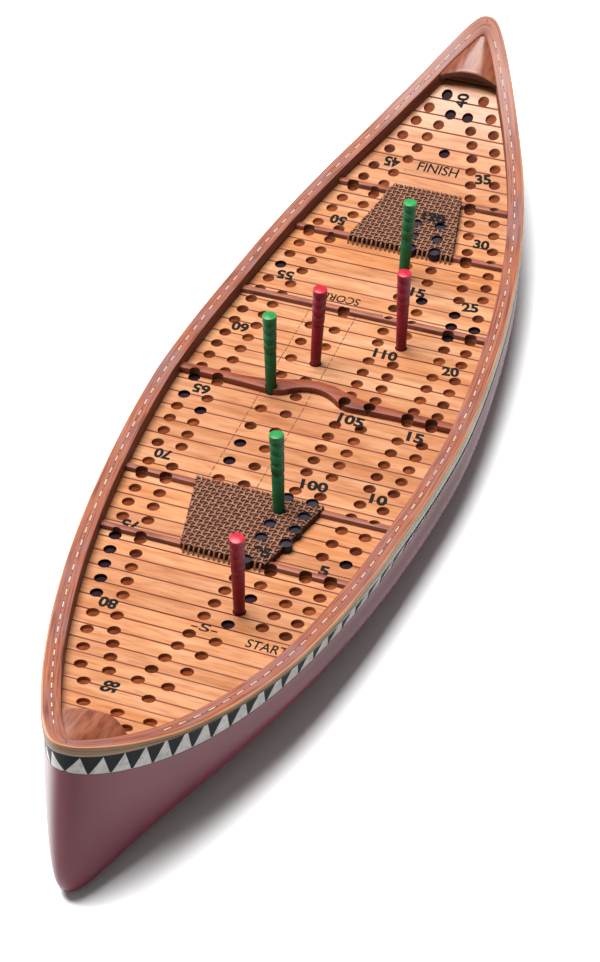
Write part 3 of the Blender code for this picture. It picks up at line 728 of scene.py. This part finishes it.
def build_rim(kit):
    # the last layer, for the inner wall, is the darker copy of the rail wood: painted shade
    layers = [kit["rail_wood"], kit["outwale_wood"], kit["rail_edge_highlight"], kit["rail_inside_shade"]]
    rails = rim_sweep("gunwale_rails_look", RAIL_PROFILE, layers, RAIL_SLOTS)
    place(rails, ("gunwale_rail_port", "gunwale_rail_starboard"))
    outwales = rim_sweep("outwales_look", OUTWALE_PROFILE, [kit["outwale_wood"]], (0,) * 6, foot=BAND_TOP)
    place(outwales, ("outwale_port", "outwale_starboard"))

    spots = stitch_spots()
    build_pebbles("rail_stitches", spots, (STITCH_LENGTH / 2,) + STITCH_GIRTH, kit["stitch_thread"], 5, 8)
    reach = STITCH_LENGTH / 2 + 0.1
    ends = [(middle + along * end * reach, along) for middle, along in spots for end in (-1.0, 1.0)]
    build_pebbles("rail_stitch_holes", ends, STITCH_HOLE_SIZE, kit["stitch_hole"], 4, 6)


def build_band(kit):
    """White triangles standing on the hull's edge, let into a slate band, mirrored side to side."""
    x, y, normal_x, normal_y, run = side_path(800)
    total = run[-1]
    marks = []
    start = 0.0
    while start < total:
        pitch = np.interp(start, (0.0, TRIANGLE_RUN_IN), TRIANGLE_PITCH)
        for share in (0.0, 0.16, 0.33, 0.5, TRIANGLE_LEAN, 0.78, TRIANGLE_SHARE):
            height = min(share / TRIANGLE_LEAN, (TRIANGLE_SHARE - share) / (TRIANGLE_SHARE - TRIANGLE_LEAN))
            if start + share * pitch < total:
                marks.append((start + share * pitch, height))
        start += pitch
    marks.append((total, 0.0))
    for side, word in ((1.0, "port"), (-1.0, "starboard")):
        vertices = []
        for at, height in marks:
            px, py, nx, ny = [np.interp(at, run, values) for values in (x, y, normal_x, normal_y)]
            extra = swell(px, py) if side < 0.0 else 0.0
            top = BAND_TOP - SWELL_SQUEEZE * extra
            split = BAND_BOTTOM + (top - BAND_BOTTOM) * (0.02 + 0.93 * height)
            foot = band_recess(px)
            for drop in (top, split, BAND_BOTTOM, BAND_BOTTOM + 0.2):
                inset = 0.06 + foot * max(0.0, drop - top) / (BAND_BOTTOM - top)
                if drop > BAND_BOTTOM:
                    inset += 0.6
                qx, qy = inset_point(px, py, nx, ny, inset)
                if at in (0.0, total):
                    qy = 0.0
                vertices.append((qx, side * qy, rim_top(px) - drop))
        faces = grid_faces(len(marks), 4)
        slots = [0, 1, 1] * (len(marks) - 1)
        finishes = [kit["band_slate"], kit["band_white"]]
        band = make_piece("band_%s_look" % word, vertices, faces, finishes, slots, smooth_angle=50)
        place(band, ("band_%s" % word,))


# ---- hull

def hull_side(x, steps):
    """Port half of the hull section below the band, from the seam down to the keel."""
    u = abs(x) / HALF_LENGTH
    beam = outline(x)
    top = rim_top(x)
    seam = top - BAND_BOTTOM
    keel = RIM_HEIGHT - KEEL_DEPTH
    run = max(0.0, (abs(x) - (HALF_LENGTH - STEM_RADIUS)) / STEM_RADIUS)
    stem = 1.0 - max(0.0, 1.0 - run ** STEM_SQUARENESS) ** (1.0 / STEM_SQUARENESS)
    bottom = keel + (top - keel) * stem
    width_power = 1.2 + 1.5 * u ** 4
    depth_power = 8.0 - 3.8 * u ** 1.5
    let_in = band_recess(x)
    seam_depth = min(0.985, (top - seam) / max(top - bottom, 0.001))
    side = []
    for step in range(steps + 1):
        depth = seam_depth + (1.0 - seam_depth) * math.sin(step / steps * math.pi / 2)
        y = beam * max(0.0, 1.0 - depth ** depth_power) ** (1.0 / width_power)
        z = max(0.0, top - (top - bottom) * depth)
        swelling = min(1.0, max(0.0, (top - z - BAND_BOTTOM) / (HULL_FULL_DEPTH - BAND_BOTTOM)))
        y = max(0.0, y - let_in * (1.0 - swelling * swelling * (3.0 - 2.0 * swelling)))
        lean = 1.0 + STEM_BULGE * u ** 3 * (seam - z) / BULGE_HEIGHT
        side.append((x * lean, y, z))
    return side


def build_hull(kit):
    steps = 30
    angle = np.linspace(-math.pi / 2, math.pi / 2, 181)
    vertices = []
    for x in HALF_LENGTH * np.sin(angle):
        side = hull_side(float(x), steps)
        vertices += side + [(px, -py, pz) for px, py, pz in reversed(side[:-1])]
    columns = 2 * steps + 1
    faces = grid_faces(len(angle), columns)
    hull = make_piece("hull_look", vertices, faces, [kit["hull_paint"]], smooth_angle=70)
    place(hull, ("hull",))


# ---- playing deck

def drill_points():
    """Centres of every drilled hole, as (x, y) pairs."""
    points = []
    for line, groups in TRACKS:
        for centre, pitch in groups:
            for x in [centre + pitch * offset for offset in (-2, -1, 0, 1, 2)]:
                points.append((x, table_value(line, x)))
    for x, y in BOW_TURN_INNER + BOW_TURN_OUTER:
        points += [(x, y + TURN_SHIFT), (x, -y + TURN_SHIFT)]
    points += STERN_OUT_INNER + STERN_OUT_OUTER + STERN_BACK_INNER + STERN_BACK_OUTER
    points += (FINISH_HOLE,) + PARKING_HOLES
    for row in range(GAMES_ROWS):
        for y in GAMES_COLUMNS:
            points.append((GAMES_START - GAMES_PITCH * row, y))
    return points


def is_dark(x, y):
    return any(math.hypot(x - dark_x, y - dark_y) < 2.5 for dark_x, dark_y in DARK_HOLES)


def seam_gap(x):
    """Distance from each station to the nearest plank seam."""
    return np.abs(x[:, None] - np.array(PLANK_SEAMS)).min(axis=1)


def build_deck(kit, points):
    """Planked surface with cut seams and real holes, draped over the sheer."""
    flat = []
    edges = []

    def add_loop(loop, closed=True):
        base = len(flat)
        flat.extend(Vector(point) for point in loop)
        last = len(loop) if closed else len(loop) - 1
        for index in range(last):
            edges.append((base + index, base + (index + 1) % len(loop)))

    end = math.asin(DECK_END / HALF_LENGTH)
    border_x = HALF_LENGTH * np.sin(np.linspace(-end, end, 161))
    border_y = half_width(border_x, DECK_INSET)
    border = list(zip(border_x, border_y))
    port = [(x, y + swell(x, y, 1.0)) for x, y in border]
    add_loop(port + [(x, -y - swell(x, y)) for x, y in reversed(border)])
    for x, y in points:
        add_loop([point[:2] for point in circle(x, y, HOLE_RADIUS, HOLE_SIDES, deck_top)])
    for seam in PLANK_SEAMS:
        reach = half_width(seam, DECK_INSET) + 0.5
        for shift in (-SEAM_HALF_WIDTH, 0.0, SEAM_HALF_WIDTH):
            add_loop([(seam + shift, -reach - 2.0), (seam + shift, reach + 3.0)], closed=False)
    corners, _, triangles, _, _, _ = delaunay_2d_cdt(flat, edges, [], 0, 1e-5)
    place_xy = np.array([(corner.x, corner.y) for corner in corners])
    tri = np.array([tuple(face) for face in triangles])
    centre = place_xy[tri].mean(axis=1)
    limit = half_width(centre[:, 0], DECK_INSET)
    inside = centre[:, 1] < limit + swell(centre[:, 0], limit, 1.0)
    inside &= centre[:, 1] > -limit - swell(centre[:, 0], limit)
    inside &= np.abs(centre[:, 0]) < DECK_END
    for x, y in points:
        inside &= np.hypot(centre[:, 0] - x, centre[:, 1] - y) > HOLE_RADIUS * 0.995
    seams = np.array(sorted(PLANK_SEAMS))
    drop = np.where(seam_gap(place_xy[:, 0]) < SEAM_HALF_WIDTH * 0.5, SEAM_DEPTH, 0.0)
    vertices = [(x, y, deck_top(x) - d) for (x, y), d in zip(place_xy, drop)]
    centre_x = centre[inside][:, 0]
    slots = [1 if gap < SEAM_HALF_WIDTH else 0 for gap in seam_gap(centre_x)]
    planks = np.searchsorted(seams, centre_x)
    plank_tones = [chance.random() for _ in range(len(seams) + 1)]
    tones = [plank_tones[plank] for plank in planks]
    faces = tri[inside].tolist()

    for x, y in points:
        # the floor of an open hole takes the painted shade; its walls take the lighter hole side colour
        slot = 3 if is_dark(x, y) else 2
        wall = 3 if is_dark(x, y) else 4
        tone = chance.random()
        pegged = any(math.hypot(x - spot[0], y - spot[1]) < 2.0 for spot, _ in PEGS.values())
        full = PEG_HOLE_DEPTH if pegged else HOLE_DEPTH
        rings = []
        for depth in (0.0, 0.25 * full, 0.6 * full, full):
            rings.append(circle(x, y, HOLE_RADIUS, HOLE_SIDES, lambda px: deck_top(px) - depth))
        add_tube(vertices, faces, rings, last_lid=True)
        slots += [wall] * (3 * HOLE_SIDES) + [slot]
        tones += [tone] * (3 * HOLE_SIDES + 1)

    mesh = bpy.data.meshes.new("playing_deck_look")
    mesh.from_pydata([(x * MM, y * MM, z * MM) for x, y, z in vertices], [], faces)
    for name in ("deck_planks", "plank_seam", "hole_floor_shade", "dark_hole", "hole_side"):
        mesh.materials.append(kit[name])
    mesh.polygons.foreach_set("material_index", slots)
    layer = mesh.attributes.new("tone", "FLOAT", "FACE")
    layer.data.foreach_set("value", tones)
    work = bmesh.new()
    work.from_mesh(mesh)
    loose = [vertex for vertex in work.verts if not vertex.link_faces]
    bmesh.ops.delete(work, geom=loose, context="VERTS")
    for face in work.faces:
        if face.material_index < 2 and face.normal.z < 0.0:
            face.normal_flip()
    work.to_mesh(mesh)
    work.free()
    mesh.shade_smooth()
    mesh.set_sharp_from_angle(angle=math.radians(24))
    place(add_object("playing_deck_look", mesh), ("playing_deck",))


def build_score_lines(kit):
    """Two broken lines scored along the deck beside the games tally."""
    vertices, faces = [], []
    for y in SCORE_LINES:
        x = SCORE_SPAN[0]
        while x < SCORE_SPAN[1]:
            length = chance.uniform(1.6, 2.6)
            width = chance.uniform(0.1, 0.16)
            wander = chance.uniform(-0.08, 0.08)
            base = len(vertices)
            for px in (x, x + length):
                for side in (-width, width):
                    vertices.append((px, y + wander + side, deck_top(px) + 0.03))
            faces.append((base, base + 2, base + 3, base + 1))
            x += length + chance.uniform(0.5, 0.9)
    lines = make_piece("score_lines", vertices, faces, [kit["score_line"]])
    place(lines)


# ---- cross members, seats and plates

def smoothed(table, reach):
    """Value of a table of (position, value) pairs with its corners rounded off."""
    window = np.linspace(-1.2, 1.2, 9)
    return np.mean(table_value(table, np.abs(reach + window)))


def build_member(name, loops, finish, kit, points):
    """Cross member lofted through its sections, bitten by the holes that reach into it."""
    corners = np.array(loops).reshape(-1, 3)
    (aft, _, low), (fore, _, top) = corners.min(axis=0), corners.max(axis=0)
    # the walls of the bites take the darker wood: painted shade inside the holes
    member = loft(name + "_look", loops, [finish, kit["bitten_wood_shade"]])
    bites = [point for point in points if aft - HOLE_RADIUS < point[0] < fore + HOLE_RADIUS]
    cut_holes(member, bites, low - 3.0, top + 3.0)
    place(member, (name,))


def build_bar(name, x, width, kit, points):
    """Straight cross member with rounded upper edges, bitten by the holes beside it."""
    half = 0.5 * width
    low = deck_top(x - math.copysign(half, x)) - MEMBER_SINK
    top = deck_top(x) + MEMBER_HEIGHT
    section = ((-half, low), (-half, top - 0.4), (-half + 0.12, top - 0.12), (-half + 0.4, top), (0.0, top + 0.06))
    section = section + tuple((-px, pz) for px, pz in reversed(section[:-1]))
    reach = half_width(x, RAIL_INSET) + 0.1
    starboard = reach + swell(x, reach)
    reach += swell(x, reach, 1.0)
    loops = [[(x + px, y, pz) for px, pz in section] for y in np.linspace(-starboard, reach, 41)]
    build_member(name, loops, kit["member_wood"], kit, points)


def build_yoke(kit, points):
    low = deck_top(YOKE_MIDDLE_X) - MEMBER_SINK
    top = deck_top(YOKE_MIDDLE_X) + YOKE_HEIGHT
    limit = half_width(YOKE_ENDS_X, RAIL_INSET) + 0.1
    loops = []
    for y in np.linspace(-limit, limit, 151):
        reach = abs(y - YOKE_SHIFT)
        fore = smoothed(YOKE_BOW_EDGE, reach)
        aft = smoothed(YOKE_STERN_EDGE, reach)
        middle = 0.5 * (fore + aft)
        loops.append([
            (aft, y, low), (aft, y, top - 0.5), (aft + 0.15, y, top - 0.15), (aft + 0.5, y, top),
            (middle, y, top + 0.1),
            (fore - 0.5, y, top), (fore - 0.15, y, top - 0.15), (fore, y, top - 0.5), (fore, y, low),
        ])
    build_member("yoke", loops, kit["yoke_wood"], kit, points)


def add_strand(vertices, faces, track, radius, blocked):
    """Adds a thin, slightly flat strand along a track, leaving out the stretches over a hole."""
    rings = []
    for index, point in enumerate(track):
        over_hole = blocked(point[0], point[1])
        if not over_hole:
            along = track[min(index + 1, len(track) - 1)] - track[max(index - 1, 0)]
            along = along / np.linalg.norm(along)
            rings.append(oval(point, along, radius, radius * 0.8, 6))
        if rings and (over_hole or index == len(track) - 1):
            add_tube(vertices, faces, rings, True, True)
            rings = []


def panel_half(panel, x):
    """Half-width of a woven seat at station x."""
    (bow_x, stern_x), (bow_half, stern_half) = panel
    return bow_half + (stern_half - bow_half) * (bow_x - x) / (bow_x - stern_x)


def build_cane(name, panel, kit, points):
    """Woven panel: strands running fore and aft, strands running across, and below them a dark block of painted
    shade that shows through the gaps.
    """
    (bow_x, stern_x), (bow_half, stern_half) = panel
    length = bow_x - stern_x

    def level(x):
        return deck_top(x) + CANE_LIFT

    holes = []
    for px, py in points:
        if stern_x - HOLE_RADIUS < px < bow_x + HOLE_RADIUS and abs(py) < panel_half(panel, px) + 1.0:
            holes.append((px, py))

    def blocked(px, py):
        return any(math.hypot(px - hx, py - hy) < HOLE_RADIUS for hx, hy in holes)

    rows = int(round(length / STRAND_PITCH))
    row_pitch = length / rows
    widest = max(bow_half, stern_half)
    columns = int(2.0 * widest / STRAND_PITCH) + 1
    vertices, faces = [], []
    span = 2.0 * (widest - CANE_MARGIN)
    for column in range(columns):
        y = -0.5 * span + column * span / (columns - 1)
        track = []
        for step in range((rows + 2) * WEAVE_STEPS + 1):
            x = bow_x + row_pitch - step * row_pitch / WEAVE_STEPS
            inner = min(max(x, stern_x), bow_x)
            if abs(y) > panel_half(panel, inner):
                continue
            phase = math.pi * (bow_x - x) / row_pitch + math.pi * column
            wave = WEAVE_LIFT * math.cos(phase)
            past = max(0.0, x - bow_x, stern_x - x)
            track.append(np.array((x, y, level(inner) + wave - 1.1 * past ** 2)))
        if len(track) > WEAVE_STEPS:
            add_strand(vertices, faces, track, STRAND_RADIUS, blocked)
    for row in range(rows + 1):
        x = bow_x - row * row_pitch
        half = panel_half(panel, x)
        count = max(8, int(2.0 * half / STRAND_PITCH * WEAVE_STEPS))
        track = []
        for step in range(count + 1):
            y = -half + 2.0 * half * step / count
            column = (y + 0.5 * span) * (columns - 1) / span
            wave = -WEAVE_LIFT * math.cos(math.pi * row + math.pi * column)
            track.append(np.array((x, y, level(x) + wave)))
        add_strand(vertices, faces, track, STRAND_RADIUS * 0.95, blocked)
    weave = make_piece(name + "_look", vertices, faces, [kit["cane_strand"]], smooth_angle=60)
    place(weave, (name,))

    # dark block from the deck up under the weave: painted shade for the gaps
    loops = []
    for step in range(29):
        x = bow_x - length * step / 28
        half = panel_half(panel, x)
        high = level(x) - 0.3
        low = deck_top(x) - 0.05
        loops.append([(x, -half, low), (x, -half, high), (x, half, high), (x, half, low)])
    shade_block = loft(name + "_ground", loops, [kit["cane_ground"], kit["cane_hole_shade"]])
    cut_holes(shade_block, holes, deck_top(bow_x) - 9.0, deck_top(bow_x) + 12.0)
    place(shade_block)

    # a dark cup a little way down each hole through the seat: painted shade for the rest of the hole
    vertices, faces = [], []
    for px, py in holes:
        rings = []
        for height, radius in ((-CANE_LIFT, 1.0), (CUP_RIM, 1.0), (CUP_RIM, CUP_BORE), (-CUP_DEPTH, CUP_BORE)):
            rings.append(circle(px, py, radius * HOLE_RADIUS, HOLE_SIDES, lambda x: level(x) + height))
        add_tube(vertices, faces, rings, last_lid=True)
    cups = make_piece(name + "_hole_shade_cups", vertices, faces, [kit["cane_hole_shade"]], smooth_angle=40)
    place(cups)


def build_plate(name, edge, tip, kit):
    """Arched end plate: a thin polished crown, open underneath at its free edge."""
    vertices = []
    shares = np.concatenate([[0.0, 0.012, 0.03, 0.06], np.linspace(0.1, 1.0, 26)])
    columns = 41
    for thickness in (0.0, PLATE_THICKNESS):
        for share in shares:
            x = edge + (tip - edge) * share
            width = half_width(x, RAIL_INSET) + 0.05
            starboard = width + swell(x, width)
            width += swell(x, width, 1.0)
            cut_back = PLATE_CUT_BACK * (1.0 - share) if tip < 0.0 else 0.0
            crown = PLATE_CROWN * (1.0 - share) ** 0.8 + 0.1
            ease = 0.35 * (1.0 - min(1.0, share / 0.06)) ** 2
            top = rim_top(x) - PLATE_EDGE_DROP - ease
            for column in range(columns):
                across = 1.0 - 2.0 * column / (columns - 1)
                y = across * (width if across > 0.0 else starboard)
                back = cut_back * max(0.0, -across - 0.2) ** 1.5
                y = max(y, -half_width(x - back, RAIL_INSET) - swell(x - back) - 0.05)
                vertices.append((x - back, y, top + crown * (1.0 - across * across) - thickness))
    rows = len(shares)
    upper = grid_faces(rows, columns)
    lower = [tuple(corner + rows * columns for corner in reversed(face)) for face in upper]
    faces = upper + lower
    # the underside and the free edge take the painted shade
    slots = [0] * len(upper) + [1] * len(lower)
    under = rows * columns
    for column in range(columns - 1):
        faces.append((column, column + 1, under + column + 1, under + column))
        slots.append(1)
    finishes = [kit["plate_wood"], kit["plate_underside_shade"]]
    plate = make_piece(name + "_look", vertices, faces, finishes, slots, smooth_angle=50)
    place(plate, (name,))


# ---- pegs

def build_peg(name, points, kit):
    (near_x, near_y), (lean_x, lean_y) = PEGS[name]
    colour = name.split("_")[0]
    x, y = min(points, key=lambda point: math.hypot(point[0] - near_x, point[1] - near_y))
    foot = Vector((x, y, deck_top(x)))
    tilt = Euler((math.radians(-lean_y), math.radians(lean_x), 0.0)).to_matrix()
    sides = 36
    rings = []
    for height, radius in PEG_PROFILE:
        ring = circle(0.0, 0.0, radius, sides, lambda px: height - PEG_IN_HOLE)
        rings.append([tuple(foot + tilt @ Vector(point)) for point in ring])
    vertices, faces = [], []
    add_tube(vertices, faces, rings)
    # the top bevel and face take the brighter top colour: painted light on the peg tops
    slots = [0] * (sides * (len(PEG_PROFILE) - 4)) + [1] * (sides * 3)
    finishes = [kit[colour + "_peg"], kit[colour + "_peg_lit_top"]]
    peg = make_piece(name + "_look", vertices, faces, finishes, slots, smooth_angle=38)
    place(peg, (name,), name)


# ---- lettering

def surface_height(x, y):
    """Height of whatever lies on top at a point: a seat, a cross member or the deck."""
    for panel in (BOW_CANE, STERN_CANE):
        if panel[0][1] < x < panel[0][0] and abs(y) < panel_half(panel, x):
            return deck_top(x) + CANE_LIFT + 0.5
    for bar in BOW_SEAT_RAILS + STERN_SEAT_RAILS:
        if abs(x - bar) < 0.5 * MEMBER_WIDTH:
            return deck_top(bar) + MEMBER_HEIGHT + 0.08
    return deck_top(x) + 0.04


def build_label(kit, index, text, x, y, turn, height=LABEL_HEIGHT, width=LABEL_WIDTH):
    """Printed word or number laid on the surface below it; a number is bold and slanted."""
    bold = text.isdigit()
    curve = bpy.data.curves.new("lettering", "FONT")
    curve.body = text
    curve.size = 1.0
    curve.shear = -0.1 if bold else 0.0
    curve.offset = 0.042 if bold else 0.012
    curve.resolution_u = 6
    holder = add_object("lettering", curve)
    graph = bpy.context.evaluated_depsgraph_get()
    mesh = bpy.data.meshes.new_from_object(holder.evaluated_get(graph))
    bpy.data.objects.remove(holder, do_unlink=True)
    work = bmesh.new()
    work.from_mesh(mesh)
    bmesh.ops.triangulate(work, faces=work.faces)
    bmesh.ops.subdivide_edges(work, edges=[e for e in work.edges if e.calc_length() > 0.15], cuts=1)
    corners = np.array([vertex.co[:] for vertex in work.verts])
    low = corners.min(axis=0)
    high = corners.max(axis=0)
    angle = math.radians(turn)
    reading = Vector((math.sin(angle), -math.cos(angle)))
    upward = Vector((math.cos(angle), math.sin(angle)))
    for vertex in work.verts:
        across = ((vertex.co.x - low[0]) / (high[0] - low[0]) - 0.5) * width
        along = ((vertex.co.y - low[1]) / (high[1] - low[1]) - 0.5) * height
        spot = Vector((x, y)) + reading * across + upward * along
        vertex.co = Vector((spot.x, spot.y, surface_height(spot.x, spot.y))) * MM
    work.to_mesh(mesh)
    work.free()
    mesh.materials.clear()
    mesh.materials.append(kit["lettering_ink"])
    place(add_object("lettering_%02d" % index, mesh))


# ---- stage

def build_stage(kit):
    vertices = []
    for row in range(FLOOR_ROWS):
        for column in range(FLOOR_ROWS):
            x, y = [FLOOR_SIZE * (step / (FLOOR_ROWS - 1) - 0.5) for step in (row, column)]
            vertices.append((x, y, -0.02))
    floor = make_piece("floor", vertices, grid_faces(FLOOR_ROWS, FLOOR_ROWS), [kit["floor"]])

    scene = bpy.context.scene
    world = bpy.data.worlds.new("studio")
    world.use_nodes = True
    background = world.node_tree.nodes["Background"].inputs
    background["Color"].default_value = (1.0, 1.0, 1.0, 1.0)
    background["Strength"].default_value = WORLD_STRENGTH
    scene.world = world

    data = bpy.data.lights.new("key", "AREA")
    data.shape = "SQUARE"
    data.size = KEY_SIZE
    data.energy = KEY_POWER
    lamp = add_object("key", data)
    lamp.location = KEY_SPOT
    lamp.rotation_euler = (Vector((0.0, 0.0, 0.02)) - Vector(KEY_SPOT)).to_track_quat("-Z", "Y").to_euler()

    data = bpy.data.cameras.new("camera")
    data.sensor_width = 36.0
    data.lens = CAMERA_LENS
    camera = add_object("camera", data)
    camera.location = CAMERA_SPOT
    camera.rotation_euler = [math.radians(angle) for angle in CAMERA_TURN]
    scene.camera = camera
    scene.view_settings.view_transform = "Standard"


def main():
    kit = make_materials()
    points = drill_points()
    build_stage(kit)
    build_hull(kit)
    build_band(kit)
    build_rim(kit)
    build_deck(kit, points)
    build_score_lines(kit)
    for end, bars in (("bow", BOW_SEAT_RAILS), ("stern", STERN_SEAT_RAILS)):
        for word, x in zip(("fore", "aft"), bars):
            build_bar("%s_seat_%s_rail" % (end, word), x, MEMBER_WIDTH, kit, points)
    build_bar("thwart", THWART_X, THWART_WIDTH, kit, points)
    build_yoke(kit, points)
    build_cane("bow_seat_cane", BOW_CANE, kit, points)
    build_cane("stern_seat_cane", STERN_CANE, kit, points)
    build_plate("bow_deck_plate", BOW_PLATE_EDGE, PLATE_TIP, kit)
    build_plate("stern_deck_plate", STERN_PLATE_EDGE, -PLATE_TIP, kit)
    for name in PEGS:
        build_peg(name, points, kit)
    for index, label in enumerate(LABELS, 1):
        build_label(kit, index, *label)


main()
